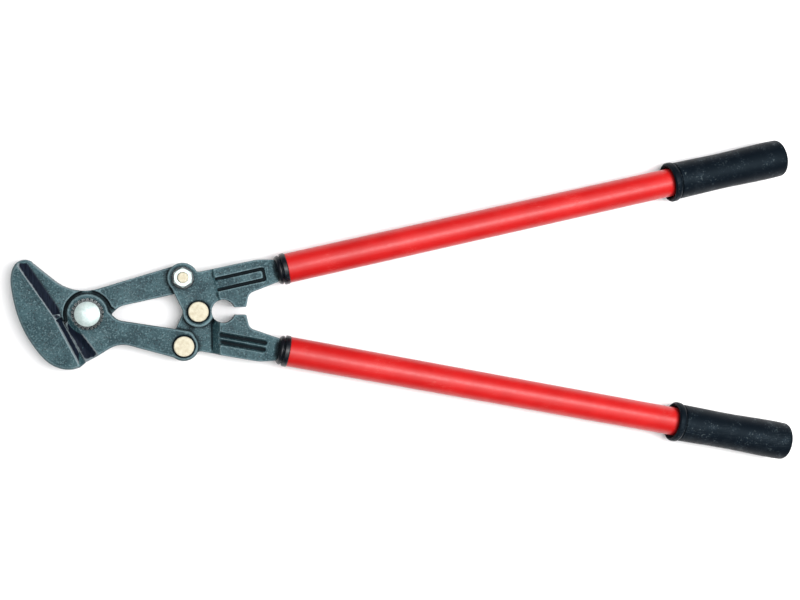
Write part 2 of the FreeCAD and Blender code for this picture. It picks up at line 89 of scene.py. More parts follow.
# Colours of the finishes: red, green, blue and a full alpha.
OXIDE_DEEP = (0.011, 0.036, 0.045, 1)
OXIDE_PALE = (0.034, 0.078, 0.090, 1)
SCALE_SPECK = (0.17, 0.27, 0.29, 1)
PIT_BLACK = (0.008, 0.014, 0.018, 1)
STEEL_SCRATCH = (0.30, 0.36, 0.37, 1)
RUBBED_OXIDE = (0.22, 0.30, 0.32, 1)
# Near black painted as shade in the forgings' hollows and corners.
HOLLOW_PAINTED_SHADE = (0.003, 0.0045, 0.006, 1)
# Near-black colours of the sloping ground faces, painted shade.
GROUND_SHADE_DEEP = (0.003, 0.005, 0.010, 1)
GROUND_SHADE_PALE = (0.010, 0.016, 0.030, 1)
BARE_EDGE = (0.30, 0.36, 0.38, 1)
# Darker still in their hollows, painted shade.
GROUND_PAINTED_SHADE = (0.004, 0.006, 0.008, 1)
BRIGHT_ZINC = (0.60, 0.70, 0.68, 1)
BRIGHT_ZINC_DULL = (0.43, 0.54, 0.52, 1)
YELLOW_ZINC = (0.60, 0.565, 0.43, 1)
YELLOW_ZINC_DULL = (0.49, 0.435, 0.31, 1)
ZINC_STAIN = (0.30, 0.29, 0.24, 1)
ZINC_RUBBED = (0.92, 0.92, 0.90, 1)
# Painted shade in hollows and corners of the plated pieces.
ZINC_PAINTED_SHADE = (0.03, 0.035, 0.035, 1)
ZINC_SCRATCH = (0.25, 0.25, 0.24, 1)
SPRING_BLACK = (0.018, 0.022, 0.024, 1)
SPRING_GREY = (0.055, 0.062, 0.064, 1)
SPRING_BARE = (0.5, 0.52, 0.5, 1)
ENAMEL_DEEP = (0.45, 0.005, 0.005, 1)
ENAMEL_BRIGHT = (0.52, 0.008, 0.008, 1)
ENAMEL_CHIP = (0.10, 0.02, 0.018, 1)
ENAMEL_SCRATCH = (0.85, 0.25, 0.22, 1)
# Painted shade in hollows and corners of the enamel.
ENAMEL_PAINTED_SHADE = (0.09, 0.006, 0.008, 1)
PLASTIC_BLACK = (0.0025, 0.0035, 0.006, 1)
PLASTIC_RUBBED = (0.006, 0.009, 0.014, 1)
PLASTIC_DUST = (0.10, 0.12, 0.13, 1)
PLASTIC_EDGE = (0.06, 0.075, 0.085, 1)
RUBBER_BLACK = (0.0015, 0.0035, 0.0065, 1)
RUBBER_RUBBED = (0.0035, 0.0070, 0.0120, 1)
RUBBER_DUST = (0.16, 0.20, 0.20, 1)
RUBBER_SCRATCH = (0.12, 0.15, 0.17, 1)
# Painted shade in hollows and corners of the rubber.
RUBBER_PAINTED_SHADE = (0.001, 0.0015, 0.002, 1)
RUBBER_SHEEN = (0.62, 0.86, 1.0, 1)
FLOOR_GREY = (0.88, 0.88, 0.88, 1)
FLOOR_WHITE = (0.92, 0.92, 0.92, 1)

record = frame["record"]
joints = {joint["name"]: joint for joint in frame["joints"]}
PIVOT = Vector(joints["jaw_pivot"]["pos_m"])
body_of = {node: body for body, nodes in record["behaviour"]["bodies"].items() for node in nodes}
slot_of = {part["node"]: part["material_slot"] for part in record["subparts"]}


# ---- material building ---------------------------------------------------------------
def add(tree, kind, inputs=None, **settings):
    """New node in a tree; an input is given a value, or linked when it is a socket."""
    made = tree.nodes.new(kind)
    for name, value in settings.items():
        setattr(made, name, value)
    for name, value in (inputs or {}).items():
        if isinstance(value, bpy.types.NodeSocket):
            tree.links.new(value, made.inputs[name])
        else:
            made.inputs[name].default_value = value
    return made


def math_node(tree, operation, first, second=0.5):
    made = add(tree, "ShaderNodeMath", {0: first, 1: second}, operation=operation)
    return made.outputs[0]


def clouds_at(tree, where, scale, detail, roughness=0.5):
    """Cloudy noise at a point, from 0 to 1."""
    made = add(tree, "ShaderNodeTexNoise",
               {"Vector": where, "Scale": scale, "Detail": detail, "Roughness": roughness})
    return made.outputs[0]


def ramp(tree, value, low, high, out_low=0.0, out_high=1.0):
    """Smooth change from one value to another as the input goes from low to high."""
    made = add(tree, "ShaderNodeMapRange",
               {"Value": value, "From Min": low, "From Max": high, "To Min": out_low, "To Max": out_high},
               interpolation_type="SMOOTHSTEP")
    return made.outputs[0]


def blend_colour(tree, mask, below, above):
    made = tree.nodes.new("ShaderNodeMix")
    made.data_type = "RGBA"
    for index, value in ((0, mask), (6, below), (7, above)):
        if isinstance(value, bpy.types.NodeSocket):
            tree.links.new(value, made.inputs[index])
        else:
            made.inputs[index].default_value = value
    return made.outputs[2]


def tinted(tree, mask, share, below, above):
    """Blend that reaches only this share of the upper colour where the mask is full."""
    return blend_colour(tree, math_node(tree, "MULTIPLY", mask, share), below, above)


def new_group(name, inputs, outputs):
    group = bpy.data.node_groups.new(name, "ShaderNodeTree")
    for label, kind, default in inputs:
        socket = group.interface.new_socket(label, in_out="INPUT", socket_type=kind)
        if default is not None:
            socket.default_value = default
    for label in outputs:
        group.interface.new_socket(label, in_out="OUTPUT", socket_type="NodeSocketFloat")
    return group, group.nodes.new("NodeGroupInput"), group.nodes.new("NodeGroupOutput")


def use_group(tree, group, inputs):
    made = tree.nodes.new("ShaderNodeGroup")
    made.node_tree = group
    for name, value in inputs.items():
        if isinstance(value, bpy.types.NodeSocket):
            tree.links.new(value, made.inputs[name])
        else:
            made.inputs[name].default_value = value
    return made.outputs


def speckle_group():
    """Scale left by forging: broad patches, pale specks, dark pits and their height."""
    group, entry, out = new_group("forging_speckle", [
        ("Vector", "NodeSocketVector", None), ("Size", "NodeSocketFloat", 1.0)],
        ["Patches", "Specks", "Pits", "Height"])
    where = add(group, "ShaderNodeVectorMath", {0: entry.outputs["Vector"], "Scale": entry.outputs["Size"]},
                operation="SCALE").outputs[0]
    broad = clouds_at(group, where, 55.0, 5.0, 0.6)
    grains = clouds_at(group, where, 520.0, 3.0, 0.65)
    holes = add(group, "ShaderNodeTexVoronoi", {"Vector": where, "Scale": 330.0, "Randomness": 1.0})
    fine = clouds_at(group, where, 1900.0, 2.0)
    patches = ramp(group, broad, 0.32, 0.68)
    specks = ramp(group, grains, 0.50, 0.68)
    pits = ramp(group, holes.outputs["Distance"], 0.34, 0.10)
    height = math_node(group, "ADD", math_node(group, "MULTIPLY", grains, 0.8),
                       math_node(group, "MULTIPLY", fine, 0.35))
    height = math_node(group, "SUBTRACT", height, math_node(group, "MULTIPLY", pits, 0.45))
    for label, value in (("Patches", patches), ("Specks", specks), ("Pits", pits), ("Height", height)):
        group.links.new(value, out.inputs[label])
    return group


def relief_group():
    """From the measured relief of a forging: worn outer edges, and hollows that take painted shade."""
    group, entry, out = new_group("forging_relief", [
        ("Vector", "NodeSocketVector", None), ("Wear", "NodeSocketFloat", 0.22)], ["Worn", "Hollow"])
    relief = add(group, "ShaderNodeAttribute", attribute_name="relief").outputs["Fac"]
    uneven = clouds_at(group, entry.outputs["Vector"], 300.0, 4.0)
    shift = math_node(group, "MULTIPLY", math_node(group, "SUBTRACT", uneven, 0.5), 0.35)
    high = math_node(group, "SUBTRACT", math_node(group, "SUBTRACT", shift, relief), entry.outputs["Wear"])
    low = math_node(group, "ADD", relief, math_node(group, "MULTIPLY", shift, 0.3))
    group.links.new(ramp(group, high, 0.0, 0.22), out.inputs["Worn"])
    # Hollow marks where painted shade goes.
    group.links.new(ramp(group, low, 0.08, 0.55), out.inputs["Hollow"])
    return group


def corner_group():
    """Rubbed corners of crisp machined pieces, found from how a rounding would turn the surface."""
    group, entry, out = new_group("rubbed_corners", [
        ("Vector", "NodeSocketVector", None), ("Radius", "NodeSocketFloat", 0.0006)], ["Mask"])
    soft = add(group, "ShaderNodeBevel", {"Radius": entry.outputs["Radius"]}, samples=4)
    shape = add(group, "ShaderNodeNewGeometry")
    facing = add(group, "ShaderNodeVectorMath", {0: soft.outputs[0], 1: shape.outputs["Normal"]},
                 operation="DOT_PRODUCT")
    uneven = clouds_at(group, entry.outputs["Vector"], 500.0, 3.0)
    turn = math_node(group, "SUBTRACT", 1.0, facing.outputs["Value"])
    turn = math_node(group, "MULTIPLY", turn, ramp(group, uneven, 0.35, 0.6, 0.3, 1.5))
    group.links.new(ramp(group, turn, 0.02, 0.14), out.inputs["Mask"])
    return group


def hollow_shade_group():
    """Painted shade held in hollows and corners, made uneven by noise."""
    group, entry, out = new_group("painted_hollow_shade", [
        ("Vector", "NodeSocketVector", None), ("Reach", "NodeSocketFloat", 0.004)], ["Mask"])
    hollow = add(group, "ShaderNodeAmbientOcclusion", {"Distance": entry.outputs["Reach"]}, samples=6)
    uneven = clouds_at(group, entry.outputs["Vector"], 140.0, 4.0)
    depth = math_node(group, "SUBTRACT", 1.0, hollow.outputs["AO"])
    depth = math_node(group, "MULTIPLY", depth, ramp(group, uneven, 0.25, 0.7, 0.7, 1.3))
    group.links.new(ramp(group, depth, 0.10, 0.46), out.inputs["Mask"])
    return group


def scratch_group():
    """Fine handling scratches in two directions, in scattered places."""
    group, entry, out = new_group("handling_scratches", [
        ("Vector", "NodeSocketVector", None), ("Width", "NodeSocketFloat", 0.012)], ["Mask"])
    place = clouds_at(group, entry.outputs["Vector"], 28.0, 3.0)
    lines = None
    for turn, stretch in ((0.35, (26.0, 900.0, 300.0)), (-0.9, (40.0, 1100.0, 300.0))):
        laid = add(group, "ShaderNodeMapping", {
            "Vector": entry.outputs["Vector"], "Rotation": (0.0, 0.0, turn), "Scale": stretch})
        wave = clouds_at(group, laid.outputs[0], 1.0, 1.0)
        near = math_node(group, "ABSOLUTE", math_node(group, "SUBTRACT", wave, 0.5))
        line = add(group, "ShaderNodeMapRange",
                   {"Value": near, "From Min": entry.outputs["Width"], "From Max": 0.0},
                   interpolation_type="SMOOTHSTEP")
        lines = line.outputs[0] if lines is None else math_node(group, "MAXIMUM", lines, line.outputs[0])
    mask = math_node(group, "MULTIPLY", lines, ramp(group, place, 0.5, 0.68))
    group.links.new(mask, out.inputs["Mask"])
    return group


def skin_group():
    """Moulded skin of rubber and plastic: fine grain, shallow dimples and rubbed shiny spots."""
    group, entry, out = new_group("moulded_skin", [
        ("Vector", "NodeSocketVector", None), ("Size", "NodeSocketFloat", 1.0)],
        ["Height", "Rubbed", "Dust"])
    where = add(group, "ShaderNodeVectorMath", {0: entry.outputs["Vector"], "Scale": entry.outputs["Size"]},
                operation="SCALE").outputs[0]
    grain = add(group, "ShaderNodeTexVoronoi", {"Vector": where, "Scale": 1300.0})
    waves = clouds_at(group, where, 130.0, 5.0, 0.6)
    spots = clouds_at(group, where, 60.0, 8.0, 0.75)
    specks = clouds_at(group, where, 480.0, 2.0)
    height = math_node(group, "ADD", math_node(group, "MULTIPLY", grain.outputs["Distance"], 0.25), waves)
    dust = math_node(group, "MULTIPLY", ramp(group, spots, 0.5, 0.66),
                     ramp(group, specks, 0.55, 0.7))
    group.links.new(height, out.inputs["Height"])
    group.links.new(ramp(group, spots, 0.46, 0.66), out.inputs["Rubbed"])
    group.links.new(dust, out.inputs["Dust"])
    return group


speckle = speckle_group()
forging_relief = relief_group()
rubbed_corners = corner_group()
# Mask of painted shade in hollows and corners, used by the finishes below.
painted_hollow_shade = hollow_shade_group()
scratches = scratch_group()
moulded_skin = skin_group()


def new_material(name, **shader):
    """Material with its Principled shader set, and coordinates fixed to the piece."""
    made = bpy.data.materials.new(name)
    made.use_nodes = True
    tree = made.node_tree
    surface = tree.nodes["Principled BSDF"]
    for label, value in shader.items():
        surface.inputs[label.replace("_", " ")].default_value = value
    place = tree.nodes.new("ShaderNodeTexCoord").outputs["Object"]
    return made, tree, surface, place


def bumped(tree, surface, height, distance, strength=1.0):
    made = add(tree, "ShaderNodeBump", {"Height": height, "Distance": distance, "Strength": strength})
    tree.links.new(made.outputs[0], surface.inputs["Normal"])
    return made


def forged_finish():
    """Black oxide over forging scale, slate grey and speckled, rubbed pale along its edges, with painted shade in
    its hollows and corners.
    """
    made, tree, surface, place = new_material("black_forged_steel")
    marks = use_group(tree, speckle, {"Vector": place, "Size": 1.0})
    relief = use_group(tree, forging_relief, {"Vector": place, "Wear": 0.36})
    shade_mask = use_group(tree, painted_hollow_shade, {"Vector": place, "Reach": 0.006})["Mask"]
    lines = use_group(tree, scratches, {"Vector": place, "Width": 0.010})["Mask"]
    colour = blend_colour(tree, marks["Patches"], OXIDE_DEEP, OXIDE_PALE)
    specks = math_node(tree, "MULTIPLY", marks["Specks"], 0.5)
    colour = blend_colour(tree, specks, colour, SCALE_SPECK)
    pits = math_node(tree, "MULTIPLY", marks["Pits"], 0.85)
    colour = blend_colour(tree, pits, colour, PIT_BLACK)
    colour = tinted(tree, lines, 0.35, colour, STEEL_SCRATCH)
    colour = tinted(tree, relief["Worn"], 0.30, colour, RUBBED_OXIDE)
    # Painted shade: hollows and corners darkened towards near black, and duller there.
    painted_shade = math_node(tree, "MAXIMUM", math_node(tree, "MULTIPLY", shade_mask, 0.95),
                     math_node(tree, "MULTIPLY", relief["Hollow"], 0.95))
    colour = blend_colour(tree, painted_shade, colour, HOLLOW_PAINTED_SHADE)
    tree.links.new(colour, surface.inputs["Base Color"])
    tree.links.new(ramp(tree, marks["Height"], 0.35, 0.85, 0.44, 0.66), surface.inputs["Roughness"])
    tree.links.new(math_node(tree, "MULTIPLY", relief["Worn"], 0.5), surface.inputs["Metallic"])
    dull = ramp(tree, painted_shade, 0.0, 1.0, 0.17, 0.03)
    tree.links.new(dull, surface.inputs["Specular IOR Level"])
    bumped(tree, surface, marks["Height"], 0.00022, 0.8)
    return made


def ground_finish():
    """Faces ground for cutting, with grinding lines across the edge; their near-black colour is painted shade for
    these sloping faces.
    """
    made, tree, surface, place = new_material("ground_steel_painted_shade", Metallic=0.12, Specular_IOR_Level=0.12)
    across = add(tree, "ShaderNodeMapping", {
        "Vector": place, "Rotation": (0.0, 0.0, EDGE_TILT), "Scale": (1500.0, 60.0, 120.0)})
    lines = clouds_at(tree, across.outputs[0], 1.0, 3.0)
    edges = use_group(tree, forging_relief, {"Vector": place, "Wear": 0.10})["Worn"]
    shade_mask = use_group(tree, painted_hollow_shade, {"Vector": place, "Reach": 0.003})["Mask"]
    # Painted shade: the ground faces coloured near black, with paler grinding lines.
    colour = blend_colour(tree, ramp(tree, lines, 0.3, 0.7), GROUND_SHADE_DEEP,
                          GROUND_SHADE_PALE)
    colour = tinted(tree, edges, 0.55, colour, BARE_EDGE)
    # Painted shade deeper in hollows and corners.
    colour = tinted(tree, shade_mask, 0.6, colour, GROUND_PAINTED_SHADE)
    tree.links.new(colour, surface.inputs["Base Color"])
    tree.links.new(ramp(tree, lines, 0.3, 0.7, 0.26, 0.42), surface.inputs["Roughness"])
    bumped(tree, surface, lines, 0.00003, 0.6)
    return made


def plated_finish(name, pale, dull, roughness, metal):
    """Zinc plate with turning rings, faint cloudy staining and rubbed corners."""
    made, tree, surface, place = new_material(name, Metallic=metal)
    clouds = clouds_at(tree, place, 240.0, 6.0, 0.65)
    rings = add(tree, "ShaderNodeTexWave",
                {"Vector": place, "Scale": 420.0, "Distortion": 0.6, "Detail": 2.0},
                wave_type="RINGS", rings_direction="Z")
    specks = clouds_at(tree, place, 900.0, 2.0)
    corners = use_group(tree, rubbed_corners, {"Vector": place, "Radius": 0.0005})["Mask"]
    shade_mask = use_group(tree, painted_hollow_shade, {"Vector": place, "Reach": 0.0022})["Mask"]
    lines = use_group(tree, scratches, {"Vector": place, "Width": 0.02})["Mask"]
    colour = blend_colour(tree, ramp(tree, clouds, 0.35, 0.68), pale, dull)
    stain = math_node(tree, "MULTIPLY", ramp(tree, specks, 0.6, 0.74), 0.35)
    colour = blend_colour(tree, stain, colour, ZINC_STAIN)
    colour = tinted(tree, corners, 0.4, colour, ZINC_RUBBED)
    # Painted shade in hollows and corners.
    colour = tinted(tree, shade_mask, 0.8, colour, ZINC_PAINTED_SHADE)
    colour = tinted(tree, lines, 0.5, colour, ZINC_SCRATCH)
    tree.links.new(colour, surface.inputs["Base Color"])
    tree.links.new(ramp(tree, clouds, 0.3, 0.7, roughness, roughness + 0.16), surface.inputs["Roughness"])
    height = math_node(tree, "ADD", math_node(tree, "MULTIPLY", rings.outputs["Fac"], 0.5), specks)
    bumped(tree, surface, height, 0.00004, 0.7)
    return made


def blackened_finish():
    """Blackened spring steel of the thin washers."""
    made, tree, surface, place = new_material("blackened_spring_steel", Metallic=0.7)
    clouds = clouds_at(tree, place, 420.0, 5.0)
    corners = use_group(tree, rubbed_corners, {"Vector": place, "Radius": 0.0004})["Mask"]
    colour = blend_colour(tree, ramp(tree, clouds, 0.35, 0.65), SPRING_BLACK,
                          SPRING_GREY)
    colour = tinted(tree, corners, 0.7, colour, SPRING_BARE)
    tree.links.new(colour, surface.inputs["Base Color"])
    tree.links.new(ramp(tree, clouds, 0.3, 0.7, 0.32, 0.5), surface.inputs["Roughness"])
    bumped(tree, surface, clouds, 0.00005, 0.6)
    return made


def enamel_finish():
    """Glossy red enamel on tube: slight orange peel, dust, hairline scratches and a few chips."""
    made, tree, surface, place = new_material(
        "red_enamel", Coat_Weight=0.16, Coat_Roughness=0.30, Coat_IOR=1.45, Specular_IOR_Level=0.3)
    peel = clouds_at(tree, place, 620.0, 2.0)
    tone = clouds_at(tree, place, 22.0, 5.0, 0.6)
    spots = clouds_at(tree, place, 210.0, 6.0, 0.7)
    lines = use_group(tree, scratches, {"Vector": place, "Width": 0.009})["Mask"]
    shade_mask = use_group(tree, painted_hollow_shade, {"Vector": place, "Reach": 0.005})["Mask"]
    colour = blend_colour(tree, ramp(tree, tone, 0.3, 0.7), ENAMEL_DEEP,
                          ENAMEL_BRIGHT)
    chips = ramp(tree, spots, 0.735, 0.76)
    colour = blend_colour(tree, chips, colour, ENAMEL_CHIP)
    colour = tinted(tree, lines, 0.35, colour, ENAMEL_SCRATCH)
    # Painted shade in hollows and corners.
    colour = tinted(tree, shade_mask, 0.55, colour, ENAMEL_PAINTED_SHADE)
    tree.links.new(colour, surface.inputs["Base Color"])
    rough = math_node(tree, "ADD", ramp(tree, spots, 0.35, 0.7, 0.34, 0.46),
                      math_node(tree, "MULTIPLY", lines, 0.2))
    tree.links.new(rough, surface.inputs["Roughness"])
    height = math_node(tree, "SUBTRACT", peel, math_node(tree, "MULTIPLY", chips, 2.0))
    peeled = bumped(tree, surface, height, 0.00004, 0.5)
    tree.links.new(peeled.outputs[0], surface.inputs["Coat Normal"])
    return made


def plastic_finish():
    """Satin black moulded plastic of the collars."""
    made, tree, surface, place = new_material("black_collar_plastic", Specular_IOR_Level=0.30)
    skin = use_group(tree, moulded_skin, {"Vector": place, "Size": 1.6})
    corners = use_group(tree, rubbed_corners, {"Vector": place, "Radius": 0.0005})["Mask"]
    colour = blend_colour(tree, skin["Rubbed"], PLASTIC_BLACK, PLASTIC_RUBBED)
    colour = tinted(tree, skin["Dust"], 0.25, colour, PLASTIC_DUST)
    colour = tinted(tree, corners, 0.35, colour, PLASTIC_EDGE)
    tree.links.new(colour, surface.inputs["Base Color"])
    tree.links.new(ramp(tree, skin["Rubbed"], 0.0, 1.0, 0.32, 0.22), surface.inputs["Roughness"])
    bumped(tree, surface, skin["Height"], 0.00003, 0.5)
    return made


def rubber_finish():
    """Blue-black rubber with a soft sheen, fine grain and dusty specks."""
    made, tree, surface, place = new_material(
        "black_grip_rubber", Specular_IOR_Level=0.10, Specular_Tint=RUBBER_SHEEN)
    skin = use_group(tree, moulded_skin, {"Vector": place, "Size": 1.0})
    shade_mask = use_group(tree, painted_hollow_shade, {"Vector": place, "Reach": 0.004})["Mask"]
    lines = use_group(tree, scratches, {"Vector": place, "Width": 0.02})["Mask"]
    colour = blend_colour(tree, skin["Rubbed"], RUBBER_BLACK, RUBBER_RUBBED)
    colour = tinted(tree, skin["Dust"], 0.30, colour, RUBBER_DUST)
    colour = tinted(tree, lines, 0.16, colour, RUBBER_SCRATCH)
    # Painted shade in hollows and corners.
    colour = tinted(tree, shade_mask, 0.6, colour, RUBBER_PAINTED_SHADE)
    tree.links.new(colour, surface.inputs["Base Color"])
    tree.links.new(ramp(tree, skin["Rubbed"], 0.0, 1.0, 0.50, 0.38), surface.inputs["Roughness"])
    bumped(tree, surface, skin["Height"], 0.00012, 0.7)
    return made


def floor_finish():
    """Plain pale paper."""
    made, tree, surface, place = new_material("pale_floor", Specular_IOR_Level=0.2)
    cloth = clouds_at(tree, place, 3.0, 3.0)
    colour = blend_colour(tree, ramp(tree, cloth, 0.3, 0.7), FLOOR_GREY, FLOOR_WHITE)
    tree.links.new(colour, surface.inputs["Base Color"])
    surface.inputs["Roughness"].default_value = 0.75
    return made


finishes = {
    "forging": forged_finish(),
    "bright_zinc": plated_finish("bright_zinc_plate", BRIGHT_ZINC, BRIGHT_ZINC_DULL, 0.38, 0.48),
    "yellow_zinc": plated_finish("pale_yellow_zinc_plate", YELLOW_ZINC, YELLOW_ZINC_DULL, 0.60, 0.0),
    "dark_steel": blackened_finish(),
    "red_paint": enamel_finish(),
    "black_plastic": plastic_finish(),
    "black_rubber": rubber_finish(),
}
ground_steel = ground_finish()


# ---- turned and faceted pieces --------------------------------------------------------
def circle_angles(sides=ROUND):
    return [2 * math.pi * k / sides for k in range(sides)]


def softened(profile, closed, steps=4):
    """Corners (height, radius, cut) each cut back by that much and bridged by a curve."""
    line = []
    count = len(profile)
    for i, (height, radius, cut) in enumerate(profile):
        if cut == 0 or (not closed and i in (0, count - 1)):
            line.append((height, radius))
            continue
        here = Vector((height, radius))
        back = Vector(profile[i - 1][:2]) - here
        ahead = Vector(profile[(i + 1) % count][:2]) - here
        start = here + back.normalized() * min(cut, back.length * 0.45)
        stop = here + ahead.normalized() * min(cut, ahead.length * 0.45)
        for k in range(steps + 1):
            t = k / steps
            line.append(tuple(start * (1 - t) ** 2 + here * 2 * t * (1 - t) + stop * t * t))
    return line


def lathe(line, angles):
    return [[(r * math.cos(a), r * math.sin(a), h) for a in angles] for h, r in line]


def skin_mesh(name, rings, closed):
    """Mesh through rings of points; a closed skin joins up, an open one is capped at both ends."""
    shell = bmesh.new()
    rows = [[shell.verts.new(Vector(p) * MM) for p in ring] for ring in rings]
    count = len(rings[0])
    pairs = list(zip(rows, rows[1:]))
    if closed:
        pairs.append((rows[-1], rows[0]))
    for low, high in pairs:
        for k in range(count):
            n = (k + 1) % count
            shell.faces.new((low[k], low[n], high[n], high[k]))
    if not closed:
        for row in (rows[0], rows[-1]):
            centre = sum((v.co for v in row), Vector()) / count
            tip = shell.verts.new(centre)
            for k in range(count):
                shell.faces.new((row[k], row[(k + 1) % count], tip))
    bmesh.ops.recalc_face_normals(shell, faces=shell.faces)
    mesh = bpy.data.meshes.new(name)
    shell.to_mesh(mesh)
    shell.free()
    return mesh


def place_piece(node, mesh, place, sharp=35.0):
    """Show this mesh for a CAD node, riding on that node's body with that node's finish."""
    mesh.shade_smooth()
    mesh.set_sharp_from_angle(angle=math.radians(sharp))
    if slot_of[node] in LONG_PARTS:
        mesh.transform(place)
        place = Matrix.Identity(4)
    piece = bpy.data.objects.new(mesh.name, mesh)
    bpy.context.scene.collection.objects.link(piece)
    piece.matrix_world = place
    mesh.materials.append(finishes[slot_of[node]])
    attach(piece, body_of[node])
    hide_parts(node)
    return piece


def upright(node, turned_over):
    """Placement on a fastener's own axis at the middle plane."""
    low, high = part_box(node)
    place = Matrix.Translation(Vector(((low.x + high.x) / 2, (low.y + high.y) / 2, PIVOT.z)))
    if turned_over:
        place = place @ Matrix.Rotation(math.pi, 4, "X")
    return place


def extent(node, turned_over):
    """Lowest and highest level from the middle plane, and outer radius across X, in millimetres."""
    low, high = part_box(node)
    bottom = (low.z - PIVOT.z) / MM
    top = (high.z - PIVOT.z) / MM
    if turned_over:
        bottom, top = -top, -bottom
    return bottom, top, (high.x - low.x) / 2 / MM


def thread_rings(radius, pitch, tip, length, angles):
    """Helical screw thread rising from a chamfered tip and running out into the shank."""
    rings = []
    rows = int(length / pitch * 10)
    for i in range(rows + 1):
        height = tip + length * i / rows
        limit = radius - 1.3 + (height - tip)
        fade = min(1.0, (tip + length - height) / pitch)
        ring = []
        for a in angles:
            phase = (height / pitch - a / (2 * math.pi)) % 1.0
            groove = max(0.0, 1.0 - abs(phase - 0.5) * 2.6) * 0.6 * pitch * fade
            r = max(radius * 0.5, min(radius - groove, limit))
            ring.append((r * math.cos(a), r * math.sin(a), height))
        rings.append(ring)
    return rings


def bolt(node, thread_size, head, turned_over=False):
    """Bolt with a screw thread at its tip; head lists (level below the crest, radius share, cut)."""
    radius, pitch, thread = thread_size
    angles = circle_angles(72)
    tip, crest, outer = extent(node, turned_over)
    rings = thread_rings(radius, pitch, tip, thread, angles)
    profile = [(tip + thread + 0.2, radius, 0.0), (crest - head[0][0], radius, 0.0)]
    profile += [(crest - drop, outer * share, cut) for drop, share, cut in head]
    rings += lathe(softened(profile, False), angles)
    return place_piece(node, skin_mesh(node + "_turned", rings, False), upright(node, turned_over), 40.0)


def domed_head(height, rim, points=12):
    """Low dome: flat underside, short rim, then an arc to the middle."""
    head = [(height, 0.985, 0.15), (height - 0.25, 1.0, 0.1), (rim, 1.0, 0.35)]
    for k in range(1, points):
        share = math.cos(k / points * math.pi / 2)
        head.append((rim * share * share, share, 0.0))
    head.append((0.0, 0.03, 0.0))
    return head


def flat_head(height):
    """Flat round head with a chamfer, faintly dished in the middle."""
    return [(height, 0.98, 0.15), (height - 0.3, 1.0, 0.15), (0.95, 1.0, 0.3), (0.05, 0.925, 0.35),
            (0.0, 0.88, 0.2), (0.0, 0.05, 0.0)]


def hex_reach(angle, across):
    """Distance from the middle of a hexagon to its side in this direction, corners just broken."""
    turn = (angle + math.pi / 6) % (math.pi / 3) - math.pi / 6
    return min(across / 2 / math.cos(turn), across * 0.5715)


def nut(node, size, turned_over=False):
    """Hexagon nut, faces crowned by a chamfer, with a countersunk threaded hole."""
    across, bore = size
    bottom, top, _ = extent(node, turned_over)
    angles = circle_angles(192)
    rim = across / 2 - 0.5
    slope = math.tan(math.radians(30))
    rings = lathe([(bottom, bore + 1.0), (bottom, rim)], angles)
    for level, way in ((bottom, 1), (top, -1)):
        ring = []
        for a in angles:
            r = hex_reach(a, across)
            ring.append((r * math.cos(a), r * math.sin(a), level + way * max(0.0, r - rim) * slope))
        rings.append(ring)
    rings += lathe([(top, rim), (top, bore + 1.0), (top - 1.0, bore), (bottom + 1.0, bore)], angles)
    return place_piece(node, skin_mesh(node + "_hexagon", rings, True), upright(node, turned_over), 20.0)


def plain_washer(node, bore, turned_over=False):
    bottom, top, outer = extent(node, turned_over)
    profile = [(bottom, bore, 0.15), (bottom, outer, 0.25), (top, outer, 0.5), (top, bore, 0.2)]
    rings = lathe(softened(profile, True), circle_angles())
    return place_piece(node, skin_mesh(node + "_stamped", rings, True), upright(node, turned_over))


def toothed_washer(node, bore, teeth):
    """Spring washer whose outer edge is cut into teeth, each twisted a little."""
    bottom, top, outer = extent(node, False)
    angles = circle_angles(teeth * 12)
    root = outer - 2.3
    rings = []
    for level, share in ((bottom, 0.0), (bottom, 0.45), (bottom, 1.0), (top, 1.0), (top, 0.45), (top, 0.0)):
        ring = []
        for k, a in enumerate(angles):
            step = k % 12
            edge = outer if 2 <= step <= 8 else root
            if step in (1, 9):
                edge = (outer + root) / 2
            r = bore + (edge - bore) * share
            twist = 0.0 if share < 0.9 else 0.28 * (step - 5) / 3.0
            level_here = min(top, max(bottom, level + (0.3 if level == bottom else -0.3) * share + twist))
            ring.append((r * math.cos(a), r * math.sin(a), level_here))
        rings.append(ring)
    return place_piece(node, skin_mesh(node + "_toothed", rings, True), upright(node, False), 30.0)


def handle_place(side):
    """Handle frame: origin at the start of the tube, local Z along it; side is 1 above, -1 below."""
    start = PIVOT + Vector((TUBE_START[0], side * TUBE_START[1], 0)) * MM
    along = Vector((math.cos(HANDLE_ANGLE), side * math.sin(HANDLE_ANGLE), 0))
    up = Vector((0, 0, 1))
    place = Matrix((up, along.cross(up), along)).transposed().to_4x4()
    place.translation = start
    return place


def tube(node, side):
    """Handle tube with both cut ends lightly broken."""
    far = HANDLE_LENGTH - GRIP_END
    profile = [(0.0, TUBE_BORE, 0.2), (0.0, TUBE_RADIUS, 0.5),
               (far, TUBE_RADIUS, 0.5), (far, TUBE_BORE, 0.2)]
    rings = lathe(softened(profile, True), circle_angles())
    return place_piece(node, skin_mesh(node + "_drawn", rings, True), handle_place(side))


def collar(node, side):
    """Plastic bush: rounded nose, deep groove, flange against the tube, plain sleeve inside it."""
    nose = [(-11.9, 0.5, 0.0), (-11.9, 12.6, 0.3), (-11.2, 13.2, 0.3), (-11.9, 13.9, 0.4),
            (-10.6, 15.7, 1.2), (-8.2, 16.55, 0.9), (-7.1, 16.0, 0.5)]
    groove = [(-6.6, 14.6, 0.4), (-5.9, 14.6, 0.4)]
    flange = [(-5.4, 17.3, 0.5), (-4.6, 17.7, 0.4), (-0.6, 17.7, 0.5), (0.0, 17.2, 0.3)]
    sleeve = [(-0.05, 14.2, 0.1), (6.0, 14.2, 0.2), (29.0, 14.2, 0.4), (30.0, 13.2, 0.3), (30.0, 0.5, 0.0)]
    profile = nose + groove + flange + sleeve
    rings = lathe(softened(profile, False), circle_angles())
    return place_piece(node, skin_mesh(node + "_moulded", rings, False), handle_place(side))


